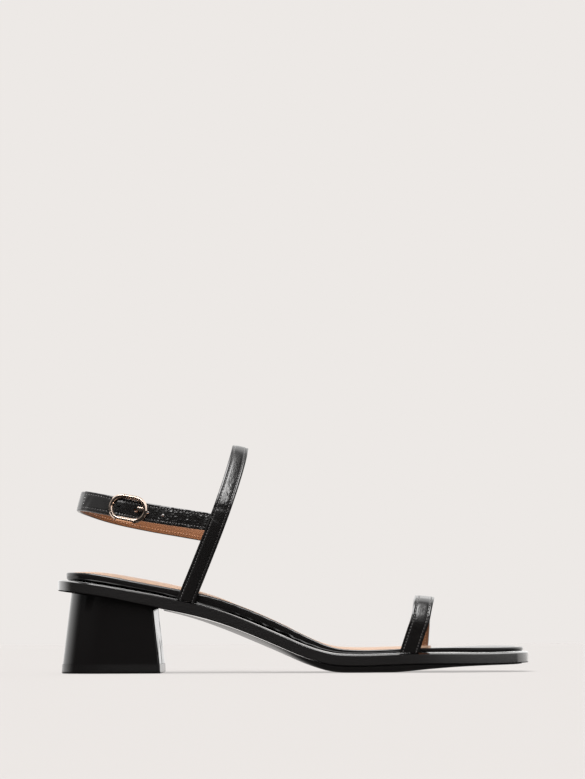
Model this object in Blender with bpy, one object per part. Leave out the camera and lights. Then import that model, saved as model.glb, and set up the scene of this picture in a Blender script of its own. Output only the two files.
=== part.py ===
"""Right-foot heeled sandal with two narrow straps, a buckled sling and a flared block heel.

Sizes are in millimetres. x runs from the back of the sole to the toe, y from the lateral side
(negative) to the medial side and z up from the floor. place() turns such a point to metres, with the
origin on the floor under the middle of the sole.
"""
import math

import bmesh
import bpy
import numpy
from mathutils import Matrix, Vector

MILLIMETRE = 0.001
GAP = 0.3

# Sole: overall length, rounding of its two ends and how finely it is divided
LENGTH = 245.0
HEEL_DEPTH = 30.0
HEEL_POWER = 2.3
HEEL_FIRST_TURN = 8.0
HEEL_STEPS = 6
MIDDLE_STEPS = 30
TOE_CORNER = 13.0
TOE_BOW = 1.5
TOE_STEPS = 5
SOLE_COLUMNS_ACROSS = 6
CROWN_POWER = 3
MITRE_LIMIT = 0.5

# A row for each station along the sole. lateral and medial are half widths, top is the ledge of the
# platform, rim is how far the footbed stands above it, crown how far the bed rises between its rims,
# thickness is the platform's, and tread is the underside of the outsole.
SOLE_COLUMNS = ("x", "lateral", "medial", "top", "rim", "crown", "thickness", "tread")
SOLE_STATIONS = (
    (0.0, 29.5, 29.5, 48.4, 4.1, -0.8, 5.7, 41.0),
    (25.0, 29.6, 29.5, 44.9, 5.5, 1.6, 5.7, 38.0),
    (40.0, 29.7, 29.3, 42.0, 5.4, 2.1, 5.9, 35.4),
    (55.0, 29.5, 28.6, 39.1, 5.4, 2.2, 6.1, 32.2),
    (70.0, 29.3, 27.6, 36.0, 5.7, 1.5, 6.2, 28.4),
    (86.0, 29.5, 26.6, 31.5, 6.2, 0.6, 6.3, 22.8),
    (101.0, 30.3, 26.6, 25.8, 6.2, -0.4, 6.3, 16.6),
    (116.0, 32.2, 28.2, 19.4, 6.0, -0.7, 6.3, 10.2),
    (131.0, 35.4, 32.2, 13.0, 4.8, 0.0, 6.1, 3.7),
    (146.0, 38.6, 36.8, 9.3, 2.8, 1.0, 5.7, 0.0),
    (159.0, 40.2, 40.0, 9.1, 2.4, 1.3, 5.6, 0.0),
    (172.0, 40.6, 41.8, 9.5, 2.4, 1.2, 5.5, 0.0),
    (190.0, 39.6, 42.8, 9.9, 2.5, 1.1, 5.5, 1.5),
    (206.0, 36.8, 42.4, 9.8, 2.8, 1.3, 5.5, 2.7),
    (222.0, 32.2, 40.8, 9.7, 2.8, 2.1, 5.5, 3.4),
    (236.0, 27.0, 38.4, 10.1, 2.6, 1.7, 5.6, 3.9),
    (245.0, 23.5, 36.4, 10.6, 2.5, 0.9, 5.7, 4.4),
)
PLATFORM_EDGE = 0.4
PLATFORM_TOP_EDGE = {"height": 0.6, "depth": 1.1}
OUTSOLE_START = 55.0
OUTSOLE_STOP = 242.5
OUTSOLE_INSET = 1.4
OUTSOLE_LEAST = 0.4

# Rolled edge of the outsole, from its tread up to the platform. inset is measured in from its edge, and
# drop is the share of the way down from the platform to the tread. The waist has a wide, gentle crown.
ROLL_COLUMNS = ("inset", "drop", "waist_inset", "waist_drop")
OUTSOLE_ROLL = (
    (8.0, 1.0, 22.0, 1.0),
    (3.0, 0.84, 12.0, 0.70),
    (0.6, 0.46, 5.0, 0.36),
    (0.0, 0.0, 0.0, 0.08),
)
WAIST_STOP = 104.0
FOREFOOT_START = 142.0
BACK_SPREAD = 0.12
FULL_SPREAD_AT = 95.0

# Footbed and the tan sock that lies in its tray
RIM_INSET = 2.7
RIM_HEEL_INSET = 1.6
RIM_HEEL_REACH = 16.0
RIM_WIDTH = 2.6
TRAY_DEPTH = 1.0
SOCK_CLEARANCE = 0.4
SOCK_THICKNESS = 0.7
SOCK_STOP = 197.0
SOCK_BOW = 2.5

# Rounded rim of the footbed. inset is measured in from its widest line, and rise is the share of the
# rim's height above the ledge.
RIM_COLUMNS = ("inset", "rise")
RIM_PROFILE = (
    (0.5, 0.0),
    (0.0, 0.35),
    (0.04, 0.80),
    (0.14, 0.92),
    (0.95, 1.0),
)

# Heel block and its top lift: distance from the back of the sole to its back and its breast
HEEL_TOP = {"back": 7.0, "breast": 51.1, "half": 24.6}
HEEL_FOOT = {"back": 2.2, "breast": 54.9, "half": 26.0}
HEEL_ROUND = 27.0
HEEL_FLAT_SHARES = (0.35, 0.7)
HEEL_COLUMNS_ACROSS = 4
HEEL_CORNER = 0.7
TOP_LIFT = 4.5
LIFT_EDGE = 0.5

# Straps over the foot, a row for each height, from the ledge to the crest. pitch is how far the foot
# slopes down to the toe under a strap, in degrees.
ARCH_COLUMNS = ("z", "lateral", "medial", "lateral_x", "medial_x")
TOE_ARCH = (
    (10.6, 39.3, 41.2, 181.0, 190.2),
    (19.5, 39.9, 41.8, 184.0, 191.1),
    (27.0, 39.8, 41.6, 186.6, 191.6),
    (30.8, 38.9, 40.6, 187.5, 191.6),
    (33.6, 36.6, 38.1, 188.3, 191.6),
    (35.5, 32.4, 33.7, 189.1, 191.6),
    (36.8, 25.4, 26.5, 189.8, 191.5),
    (37.7, 14.0, 14.6, 190.5, 191.2),
    (38.0, 0.0, 0.0, 190.8, 190.8),
)
INSTEP_ARCH = (
    (37.2, 28.3, 26.5, 68.2, 65.4),
    (57.6, 30.0, 28.4, 76.6, 73.1),
    (77.8, 31.4, 30.2, 84.6, 80.9),
    (90.8, 30.3, 29.6, 89.2, 85.7),
    (100.8, 26.4, 26.0, 92.3, 89.3),
    (109.8, 18.8, 18.6, 94.5, 92.4),
    (114.8, 9.8, 9.8, 95.1, 94.2),
    (116.4, 0.0, 0.0, 95.2, 95.2),
)
TOE_STRAP = {"width": 9.5, "end_width": 9.5, "thickness": 2.0, "pitch": 7.5, "steps": 40}
INSTEP_STRAP = {"width": 8.4, "end_width": 9.3, "thickness": 2.0, "pitch": 11.0, "steps": 40}

# Sling: middle of the heel strap, from the medial side of the instep strap round the heel to the
# lateral side. lean is how far its upper edge tips towards the foot, in degrees.
SLING_COLUMNS = ("x", "y", "z", "lean")
SLING_ROUTE = (
    (80.5, 28.9, 73.6, 0.0),
    (64.0, 29.4, 76.6, 2.0),
    (45.0, 28.4, 80.0, 6.0),
    (27.4, 24.6, 83.8, 10.0),
    (15.6, 14.4, 87.3, 14.0),
    (11.8, 0.0, 88.8, 15.0),
    (15.6, -14.2, 88.3, 14.0),
    (26.5, -23.8, 86.0, 9.0),
    (39.2, -26.6, 83.4, 4.0),
    (51.0, -28.2, 81.1, 2.0),
    (68.0, -28.8, 78.4, 0.0),
    (86.0, -27.9, 75.7, 0.0),
)
SLING_SAMPLES = 400
HEEL_STRAP = {"width": 10.3, "thickness": 1.8, "steps": 44}
BUCKLE_STRAP = {"width": 10.1, "end_width": 9.1, "thickness": 1.8, "steps": 34}
LAYER_STEP = 2.1
TAIL_END_X = 16.6

# Cross-section of a strap: place across its width and through its thickness, as shares of each
STRAP_SECTION = (
    (-0.5, 0.0),
    (-0.43, 0.5),
    (0.0, 0.62),
    (0.43, 0.5),
    (0.5, 0.0),
    (0.43, -0.5),
    (0.0, -0.5),
    (-0.43, -0.5),
)

# Buckle: oval wire frame, its centre bar and its prong. along runs forward on the strap, out away from
# the foot, both from the middle of the bar.
BUCKLE_X = 39.2
FRAME_LENGTH = 20.6
FRAME_HEIGHT = 14.1
FRAME_WIRE = 0.75
FRAME_OUT = 4.3
BAR_WIRE = 0.65
FRAME_ARC_STEPS = 10
PRONG_WIRE = 0.55
PRONG_STEPS = 21
PRONG_ROUTE = (
    (1.6, 0.0),
    (2.9, 0.1),
    (3.7, 1.0),
    (4.0, 2.9),
    (5.2, 4.6),
    (8.3, 5.95),
    (9.7, 6.0),
)
PRONG_HOLE_ALONG = 3.85
PRONG_HOLE_RADIUS = 1.3
PRONG_HOLE_DEPTH = 5.4
PRONG_HOLE_SIDES = 12
BAR_CLEARANCE = 0.4
WIRE_ROUNDNESS = 2
WELD = 0.01
SHARP_ANGLE = math.radians(35.0)


def column_values(rows, columns, name):
    """One named column of a table, as an array."""
    return numpy.array([row[columns.index(name)] for row in rows])


def smooth(xs, ys, x):
    """Value at x of the curve through the points that never overshoots them."""
    steps = numpy.diff(xs)
    rises = numpy.diff(ys) / steps
    slopes = numpy.zeros(len(xs))
    slopes[0] = rises[0]
    slopes[-1] = rises[-1]
    for i in range(1, len(xs) - 1):
        if rises[i - 1] * rises[i] > 0:
            slopes[i] = 2 * rises[i - 1] * rises[i] / (rises[i - 1] + rises[i])
    i = min(max(int(numpy.searchsorted(xs, x)) - 1, 0), len(xs) - 2)
    t = (x - xs[i]) / steps[i]
    start = ys[i] * (1 + 2 * t) * (1 - t) ** 2 + slopes[i] * steps[i] * t * (1 - t) ** 2
    end = ys[i + 1] * (3 - 2 * t) * t ** 2 + slopes[i + 1] * steps[i] * t ** 2 * (t - 1)
    return float(start + end)


def sole(name, x):
    """Smooth value of a column of the sole's stations at x."""
    x = min(max(x, 0.0), LENGTH)
    xs = column_values(SOLE_STATIONS, SOLE_COLUMNS, "x")
    return smooth(xs, column_values(SOLE_STATIONS, SOLE_COLUMNS, name), x)


def platform_top(x):
    return sole("top", x)


def platform_bottom(x):
    return sole("top", x) - sole("thickness", x)


def mix(a, b, share):
    return a + (b - a) * share


def through(points, count):
    """Evenly spaced points on a smooth curve through the given ones."""
    rows = numpy.array(points, dtype=float)
    chords = numpy.linalg.norm(numpy.diff(rows[:, :3], axis=0), axis=1)
    run = numpy.concatenate(([0.0], numpy.cumsum(chords)))
    slopes = numpy.gradient(rows, run, axis=0)
    samples = []
    for at in numpy.linspace(0.0, run[-1], count):
        i = min(max(int(numpy.searchsorted(run, at)) - 1, 0), len(run) - 2)
        step = run[i + 1] - run[i]
        t = (at - run[i]) / step
        start = rows[i] * (1 + 2 * t) * (1 - t) ** 2 + slopes[i] * step * t * (1 - t) ** 2
        end = rows[i + 1] * (3 - 2 * t) * t ** 2 + slopes[i + 1] * step * t ** 2 * (t - 1)
        samples.append(start + end)
    return numpy.array(samples)


def sole_rows(start=0.0, stop=LENGTH):
    """Rows across the sole from heel to toe, each (x, lateral y, medial y)."""
    rows = []
    for step in range(HEEL_STEPS + 1):
        turn = math.radians(mix(HEEL_FIRST_TURN, 90.0, step / HEEL_STEPS))
        x = HEEL_DEPTH * (1 - math.cos(turn) ** (2 / HEEL_POWER))
        fill = math.sin(turn) ** (2 / HEEL_POWER)
        rows.append((x, -fill * sole("lateral", x), fill * sole("medial", x)))
    front = LENGTH - TOE_BOW
    for step in range(1, MIDDLE_STEPS + 1):
        x = mix(HEEL_DEPTH, front - TOE_CORNER, step / MIDDLE_STEPS)
        rows.append((x, -sole("lateral", x), sole("medial", x)))
    for step in range(1, TOE_STEPS + 1):
        turn = math.radians(90.0 * step / TOE_STEPS)
        x = front - TOE_CORNER * (1 - math.sin(turn))
        cut = TOE_CORNER * (1 - math.cos(turn))
        rows.append((x, cut - sole("lateral", x), sole("medial", x) - cut))
    kept = [row for row in rows if start <= row[0] <= stop]
    if start > 0.0:
        kept.insert(0, (start, -sole("lateral", start), sole("medial", start)))
    if stop < front - TOE_CORNER:
        kept.append((stop, -sole("lateral", stop), sole("medial", stop)))
    return kept


def heel_rows(size):
    """Rows across the heel from its round back to its breast, each (x, lateral y, medial y)."""
    rows = []
    for step in range(HEEL_STEPS + 1):
        turn = math.radians(mix(HEEL_FIRST_TURN, 90.0, step / HEEL_STEPS))
        x = size["back"] + HEEL_ROUND * (1 - math.cos(turn) ** (2 / HEEL_POWER))
        half = size["half"] * math.sin(turn) ** (2 / HEEL_POWER)
        rows.append((x, -half, half))
    for share in HEEL_FLAT_SHARES:
        x = mix(size["back"] + HEEL_ROUND, size["breast"], share)
        rows.append((x, -size["half"], size["half"]))
    rows.append((size["breast"] - HEEL_CORNER, -size["half"], size["half"]))
    rows.append((size["breast"], HEEL_CORNER - size["half"], size["half"] - HEEL_CORNER))
    return rows


def outline(rows, bow=0.0, across=SOLE_COLUMNS_ACROSS):
    """Closed outline of the rows: lateral side, front edge, medial side, back edge."""
    points = [(x, lateral) for x, lateral, medial in rows]
    x, lateral, medial = rows[-1]
    for step in range(1, across):
        share = step / across
        points.append((x + bow * (1 - (2 * share - 1) ** 2), mix(lateral, medial, share)))
    points += [(x, medial) for x, lateral, medial in reversed(rows)]
    x, lateral, medial = rows[0]
    for step in range(1, across):
        points.append((x, mix(medial, lateral, step / across)))
    return points


def ring(points, inset, height):
    """The outline drawn in by inset(x), at the height given by height(x)."""
    drawn = []
    for i, point in enumerate(points):
        here = Vector(point)
        before = (here - Vector(points[i - 1])).normalized()
        after = (Vector(points[(i + 1) % len(points)]) - here).normalized()
        inward = Vector((-before.y - after.y, before.x + after.x)).normalized()
        reach = inset(here.x) / max(inward.dot(Vector((-after.y, after.x))), MITRE_LIMIT)
        moved = here + inward * reach
        drawn.append(Vector((moved.x, moved.y, height(moved.x))))
    return drawn


def place(point):
    """A point of the tables, in metres from the part's origin."""
    return (Vector(point) - Vector((LENGTH / 2, MIDDLE_Y, 0.0))) * MILLIMETRE


def no_crown(x):
    return 0.0


def crown_share(share):
    """Share of the crown's height at a share of the way across."""
    return 1 - abs(2 * share - 1) ** CROWN_POWER


def crowned_front(points, count, crown, across=SOLE_COLUMNS_ACROSS):
    """The ring with its front edge raised as the crown raises the rows behind it."""
    for step in range(1, across):
        point = points[count - 1 + step]
        point.z += crown(point.x) * crown_share(step / across)
    return points


def cap(mesh, edge, count, across, crown, upward):
    """Fills a ring with rows of faces that rise by crown(x) between its two sides."""
    last = count - 1
    grid = []
    for i in range(count):
        lateral = edge[i]
        medial = edge[last + across + last - i]
        row = [lateral]
        for j in range(1, across):
            if i == last:
                row.append(edge[last + j])
            elif i == 0:
                row.append(edge[(2 * last + 2 * across - j) % len(edge)])
            else:
                share = j / across
                spot = lateral.co.lerp(medial.co, share)
                x = spot.x / MILLIMETRE + LENGTH / 2
                spot.z += crown(x) * crown_share(share) * MILLIMETRE
                row.append(mesh.verts.new(spot))
        row.append(medial)
        grid.append(row)
    for i in range(last):
        for j in range(across):
            face = [grid[i][j], grid[i + 1][j], grid[i + 1][j + 1], grid[i][j + 1]]
            mesh.faces.new(face if upward else face[::-1])


def slab(name, rings, count, material, across=SOLE_COLUMNS_ACROSS, top=no_crown, bottom=no_crown):
    """Solid through rings that lie above each other, each with the same count of rows."""
    mesh = bmesh.new()
    levels = [[mesh.verts.new(place(point)) for point in level] for level in rings]
    for lower, upper in zip(levels, levels[1:]):
        for i in range(len(lower)):
            j = (i + 1) % len(lower)
            mesh.faces.new((lower[i], lower[j], upper[j], upper[i]))
    cap(mesh, levels[0], count, across, bottom, False)
    cap(mesh, levels[-1], count, across, top, True)
    return finish(name, mesh, material)


def finish(name, mesh, material, collection=None):
    """Makes the shaped mesh an object of the sandal, shaded smooth between its sharp edges."""
    data = bpy.data.meshes.new(name)
    bmesh.ops.recalc_face_normals(mesh, faces=mesh.faces)
    mesh.to_mesh(data)
    mesh.free()
    data.shade_smooth()
    data.set_sharp_from_angle(angle=SHARP_ANGLE)
    data.materials.append(material)
    made = bpy.data.objects.new(name, data)
    (collection or SANDAL).objects.link(made)
    return made


def surface(name, colour, roughness, metallic=0.0):
    """A plain material with the colour, roughness and metallic value of a piece."""
    made = bpy.data.materials.new(name)
    made.use_nodes = True
    shader = made.node_tree.nodes["Principled BSDF"]
    shader.inputs["Base Color"].default_value = (*colour, 1.0)
    shader.inputs["Roughness"].default_value = roughness
    shader.inputs["Metallic"].default_value = metallic
    made.diffuse_color = (*colour, 1.0)
    return made


def outsole_seat(x):
    """Top of the outsole, just under the platform."""
    return platform_bottom(x) - GAP


def forefoot_share(x):
    """0 in the waist and 1 under the forefoot, with an even change between."""
    share = min(max((x - WAIST_STOP) / (FOREFOOT_START - WAIST_STOP), 0.0), 1.0)
    return share * share * (3 - 2 * share)


def outsole_inset(row):
    """Distance in from the platform's edge of a line on the outsole's edge, small at its back end."""
    def inset(x):
        ahead = min((x - OUTSOLE_START) / (FULL_SPREAD_AT - OUTSOLE_START), 1.0)
        waist = row["waist_inset"] * mix(BACK_SPREAD, 1.0, ahead)
        return OUTSOLE_INSET + mix(waist, row["inset"], forefoot_share(x))
    return inset


def outsole_height(row):
    """Height of a line on the outsole's edge."""
    def height(x):
        seat = outsole_seat(x)
        drop = mix(row["waist_drop"], row["drop"], forefoot_share(x))
        return mix(seat, min(sole("tread", x), seat - OUTSOLE_LEAST), drop)
    return height


def steady(value):
    """Function of x that always gives the same value."""
    return lambda x: value


def make_platform(material):
    rows = sole_rows()
    edge = outline(rows, TOE_BOW)
    rings = (
        ring(edge, steady(PLATFORM_EDGE), platform_bottom),
        ring(edge, steady(0.0), lambda x: platform_bottom(x) + PLATFORM_EDGE),
        ring(edge, steady(0.0), lambda x: platform_top(x) - PLATFORM_TOP_EDGE["height"]),
        ring(edge, steady(PLATFORM_TOP_EDGE["depth"]), platform_top),
    )
    return slab("platform", rings, len(rows), material)


def make_outsole(material):
    """Thin sole under the platform, rolled up towards its edge and flat under the ball."""
    rows = sole_rows(OUTSOLE_START, OUTSOLE_STOP)
    edge = outline(rows, TOE_BOW)
    roll = [dict(zip(ROLL_COLUMNS, row)) for row in OUTSOLE_ROLL]
    rings = [ring(edge, outsole_inset(row), outsole_height(row)) for row in roll]
    return slab("outsole", rings, len(rows), material)


def rim_inset(extra):
    """Distance in from the platform's edge, wider round the back of the heel."""
    def inset(x):
        share = max(0.0, 1.0 - x / RIM_HEEL_REACH)
        return RIM_INSET + RIM_HEEL_INSET * share * share * (3 - 2 * share) + extra
    return inset


def rim_height(share, drop=0.0):
    """Height that lies a share of the way up the footbed's rim, less a drop."""
    return lambda x: platform_top(x) + mix(GAP, sole("rim", x), share) - drop


def bed_crown(x):
    return sole("crown", x)


def make_footbed(material):
    """Padded bed with a rounded rim and a shallow tray for the sock."""
    rows = sole_rows()
    edge = outline(rows, TOE_BOW)
    profile = [dict(zip(RIM_COLUMNS, row)) for row in RIM_PROFILE]
    rings = [ring(edge, rim_inset(row["inset"]), rim_height(row["rise"])) for row in profile]
    rings.append(ring(edge, rim_inset(RIM_WIDTH), rim_height(1.0, TRAY_DEPTH)))
    return slab("footbed", rings, len(rows), material, top=bed_crown)


def make_sock_lining(material):
    """Thin leather sock in the tray, from the heel to just ahead of the toe strap."""
    rows = sole_rows(stop=SOCK_STOP)
    edge = outline(rows, SOCK_BOW)
    inset = rim_inset(RIM_WIDTH + SOCK_CLEARANCE)
    under = rim_height(1.0, TRAY_DEPTH - GAP)
    over = rim_height(1.0, TRAY_DEPTH - GAP - SOCK_THICKNESS)
    rings = [crowned_front(ring(edge, inset, height), len(rows), bed_crown) for height in (under, over)]
    return slab("sock_lining", rings, len(rows), material, top=bed_crown, bottom=bed_crown)


def make_heel_block(material):
    """Block that flares backwards to the floor, its top following the platform."""
    share = (TOP_LIFT + GAP) / platform_bottom(HEEL_TOP["back"])
    size = {key: mix(HEEL_FOOT[key], HEEL_TOP[key], share) for key in HEEL_FOOT}
    rows = heel_rows(size)
    lower = outline(rows, across=HEEL_COLUMNS_ACROSS)
    upper = outline(heel_rows(HEEL_TOP), across=HEEL_COLUMNS_ACROSS)
    rings = (
        ring(lower, steady(0.0), steady(TOP_LIFT + GAP)),
        ring(upper, steady(0.0), outsole_seat),
    )
    return slab("heel_block", rings, len(rows), material, across=HEEL_COLUMNS_ACROSS)


def make_top_lift(material):
    rows = heel_rows(HEEL_FOOT)
    edge = outline(rows, across=HEEL_COLUMNS_ACROSS)
    rings = (
        ring(edge, steady(LIFT_EDGE), steady(0.0)),
        ring(edge, steady(0.0), steady(LIFT_EDGE)),
        ring(edge, steady(LIFT_EDGE / 2), steady(TOP_LIFT)),
    )
    return slab("heel_top_lift", rings, len(rows), material, across=HEEL_COLUMNS_ACROSS)


def arch_route(rows, count):
    """Middle of a strap from the lateral ledge over the foot to the medial ledge."""
    table = [dict(zip(ARCH_COLUMNS, row)) for row in rows]
    points = [(row["lateral_x"], -row["lateral"], row["z"]) for row in table]
    points += [(row["medial_x"], row["medial"], row["z"]) for row in reversed(table[:-1])]
    return [Vector(point) for point in through(points, count)]


def headings(route):
    """Direction of travel at each point of a route."""
    last = len(route) - 1
    return [(route[min(i + 1, last)] - route[max(i - 1, 0)]).normalized() for i in range(len(route))]


def band(name, route, acrosses, widths, thickness, material, collection=None, seated=False):
    """Strap of leather along a route, its width along the given directions."""
    mesh = bmesh.new()
    loops = []
    for i, (spot, heading, across) in enumerate(zip(route, headings(route), acrosses)):
        side = (across - heading * across.dot(heading)).normalized()
        outward = side.cross(heading)
        points = []
        for wide, deep in STRAP_SECTION:
            point = spot + side * (wide * widths[i]) + outward * (deep * thickness)
            if seated and i in (0, len(route) - 1):
                rise = platform_top(point.x) + GAP - point.z
                point += heading * (rise / heading.z)
            points.append(mesh.verts.new(place(point)))
        loops.append(points)
    for here, there in zip(loops, loops[1:]):
        for i in range(len(here)):
            j = (i + 1) % len(here)
            mesh.faces.new((here[i], here[j], there[j], there[i]))
    mesh.faces.new(loops[0][::-1])
    mesh.faces.new(loops[-1])
    return finish(name, mesh, material, collection)


def arch_strap(name, rows, size, material):
    """Strap over the foot, standing on the ledge at both sides."""
    route = arch_route(rows, size["steps"])
    pitch = math.radians(size["pitch"])
    along_foot = Vector((math.cos(pitch), 0.0, -math.sin(pitch)))
    middle = (len(route) - 1) / 2
    widths = [mix(size["width"], size["end_width"], abs(i / middle - 1)) for i in range(len(route))]
    across = [along_foot] * len(route)
    return band(name, route, across, widths, size["thickness"], material, seated=True)


def sling_samples(step_out):
    """Closely spaced points of the sling, moved out from the foot, with their width directions."""
    rows = through(SLING_ROUTE, SLING_SAMPLES)
    spots = [Vector(row[:3]) for row in rows]
    samples = []
    for row, spot, heading in zip(rows, spots, headings(spots)):
        up = Vector((0.0, 0.0, 1.0))
        up = (up - heading * up.dot(heading)).normalized()
        out = heading.cross(up)
        lean = math.radians(row[SLING_COLUMNS.index("lean")])
        width = up * math.cos(lean) - out * math.sin(lean)
        out = out * math.cos(lean) + up * math.sin(lean)
        samples.append({"spot": spot + out * step_out, "width": width, "out": out, "heading": heading})
    return samples


def nearest_x(samples, x):
    """Index of the lateral sample whose x is nearest to the given one."""
    lateral = [i for i, sample in enumerate(samples) if sample["spot"].y < 0]
    return min(lateral, key=lambda i: abs(samples[i]["spot"].x - x))


def sling_strap(name, samples, first, last, size, material):
    """Strap along a stretch of the sling."""
    picks = [round(at) for at in numpy.linspace(first, last, size["steps"])]
    route = [samples[i]["spot"] for i in picks]
    across = [-samples[i]["width"] for i in picks]
    end_width = size.get("end_width", size["width"])
    widths = [mix(size["width"], end_width, i / (len(picks) - 1)) for i in range(len(picks))]
    return band(name, route, across, widths, size["thickness"], material, JOINED)


def combine(target, tool, operation):
    """Adds a Boolean that joins or cuts the target with the tool."""
    tool.hide_render = True
    tool.display_type = "WIRE"
    step = target.modifiers.new(f"{operation.lower()}_{tool.name}", "BOOLEAN")
    step.operation = operation
    step.solver = "EXACT"
    step.object = tool


def buckle_frame_axes():
    """Matrix of the buckle: x forward along the strap, y up across it, z out from the foot."""
    samples = sling_samples(0.0)
    sample = samples[nearest_x(samples, BUCKLE_X)]
    axes = Matrix((sample["heading"], sample["width"], sample["out"])).transposed().to_4x4()
    axes.translation = place(sample["spot"])
    return axes


def wire(name, points, radius, axes, cyclic=False):
    """Round wire through points in the buckle's own axes, as a closed mesh object."""
    curve = bpy.data.curves.new(name, "CURVE")
    curve.dimensions = "3D"
    curve.bevel_depth = radius * MILLIMETRE
    curve.bevel_resolution = WIRE_ROUNDNESS
    curve.use_fill_caps = True
    line = curve.splines.new("POLY")
    line.points.add(len(points) - 1)
    for knot, point in zip(line.points, points):
        knot.co = (*(Vector(point) * MILLIMETRE), 1.0)
    line.use_cyclic_u = cyclic
    drawn = bpy.data.objects.new(name, curve)
    SANDAL.objects.link(drawn)
    bpy.context.view_layer.update()
    shaped = drawn.evaluated_get(bpy.context.evaluated_depsgraph_get())
    mesh = bmesh.new()
    mesh.from_mesh(bpy.data.meshes.new_from_object(shaped))
    bpy.data.objects.remove(drawn, do_unlink=True)
    bmesh.ops.remove_doubles(mesh, verts=mesh.verts, dist=WELD * MILLIMETRE)
    bmesh.ops.transform(mesh, matrix=axes, verts=mesh.verts)
    return mesh


def make_buckle_frame(material, axes):
    """Oval frame with a centre bar that hangs behind the buckle strap."""
    turn = FRAME_HEIGHT / 2 - FRAME_WIRE
    straight = FRAME_LENGTH / 2 - FRAME_WIRE - turn
    oval = []
    for end in (1, -1):
        for step in range(FRAME_ARC_STEPS + 1):
            angle = math.radians(-90.0 + 180.0 * step / FRAME_ARC_STEPS)
            along = end * (straight + turn * math.cos(angle))
            oval.append((along, end * turn * math.sin(angle), FRAME_OUT))
    frame = finish("buckle_frame", wire("frame", oval, FRAME_WIRE, axes, cyclic=True), material)
    hanger = ((0.0, turn, FRAME_OUT), (0.0, turn, 0.0), (0.0, -turn, 0.0), (0.0, -turn, FRAME_OUT))
    bar = finish("centre_bar", wire("bar", hanger, BAR_WIRE, axes), material, JOINED)
    combine(frame, bar, "UNION")
    return frame


def make_buckle_prong(material, axes):
    """Wire that bends softly from the bar through the strap and forward over the frame."""
    corners = [(along, 0.0, out) for along, out in PRONG_ROUTE]
    points = through(corners, PRONG_STEPS)
    return finish("buckle_prong", wire("prong", points, PRONG_WIRE, axes), material)


def prong_hole(axes):
    """Cutter for the hole that the prong passes through."""
    mesh = bmesh.new()
    spot = Matrix.Translation(Vector((PRONG_HOLE_ALONG, 0.0, LAYER_STEP)) * MILLIMETRE)
    bmesh.ops.create_cone(
        mesh,
        cap_ends=True,
        segments=PRONG_HOLE_SIDES,
        radius1=PRONG_HOLE_RADIUS * MILLIMETRE,
        radius2=PRONG_HOLE_RADIUS * MILLIMETRE,
        depth=PRONG_HOLE_DEPTH * MILLIMETRE,
        matrix=axes @ spot,
    )
    return finish("prong_hole", mesh, surface("cutter", (0.5, 0.5, 0.5), 0.5), JOINED)


def make_straps(material, axes):
    """Instep strap with the two halves of the sling joined to its inner side."""
    straps = arch_strap("straps", INSTEP_ARCH, INSTEP_STRAP, material)
    inner = sling_samples(0.0)
    outer = sling_samples(LAYER_STEP)
    bar = nearest_x(inner, BUCKLE_X - BAR_WIRE - BAR_CLEARANCE)
    heel = sling_strap("heel_strap", inner, 0, bar, HEEL_STRAP, material)
    tail = nearest_x(outer, TAIL_END_X)
    buckled = sling_strap("buckle_strap", outer, tail, len(outer) - 1, BUCKLE_STRAP, material)
    combine(straps, heel, "UNION")
    combine(straps, buckled, "UNION")
    combine(straps, prong_hole(axes), "DIFFERENCE")
    return straps


def main():
    black_leather = surface("black leather", (0.012, 0.012, 0.013), 0.38)
    black_edge = surface("black finished edge", (0.016, 0.016, 0.016), 0.3)
    gloss_sole = surface("glossy black sole", (0.02, 0.02, 0.02), 0.18)
    heel_leather = surface("black heel cover", (0.010, 0.010, 0.010), 0.25)
    lift_rubber = surface("black top lift", (0.015, 0.015, 0.015), 0.55)
    tan_leather = surface("tan leather", (0.62, 0.36, 0.20), 0.5)
    pale_gold = surface("pale gold metal", (0.62, 0.47, 0.36), 0.22, 1.0)
    make_outsole(gloss_sole)
    make_platform(black_edge)
    make_heel_block(heel_leather)
    make_top_lift(lift_rubber)
    make_footbed(black_leather)
    make_sock_lining(tan_leather)
    arch_strap("toe_strap", TOE_ARCH, TOE_STRAP, black_leather)
    axes = buckle_frame_axes()
    make_straps(black_leather, axes)
    make_buckle_frame(pale_gold, axes)
    make_buckle_prong(pale_gold, axes)


for old in list(bpy.data.objects):
    bpy.data.objects.remove(old, do_unlink=True)
SANDAL = bpy.data.collections.new("heeled_sandal")
JOINED = bpy.data.collections.new("joined_and_cut")
bpy.context.scene.collection.children.link(SANDAL)
bpy.context.scene.collection.children.link(JOINED)
SIDES = [y for row in sole_rows() for y in row[1:]]
MIDDLE_Y = (min(SIDES) + max(SIDES)) / 2
main()
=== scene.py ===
"""Finish of a right-foot heeled sandal: smooth sole, stitched and lined straps, buckle, studio."""
import contextlib
import dataclasses
import math

import bmesh
import bpy
from bpy.props import FloatProperty, FloatVectorProperty, PointerProperty
from bpy.types import Operator, Panel, PropertyGroup
from mathutils import Matrix, Vector


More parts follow.
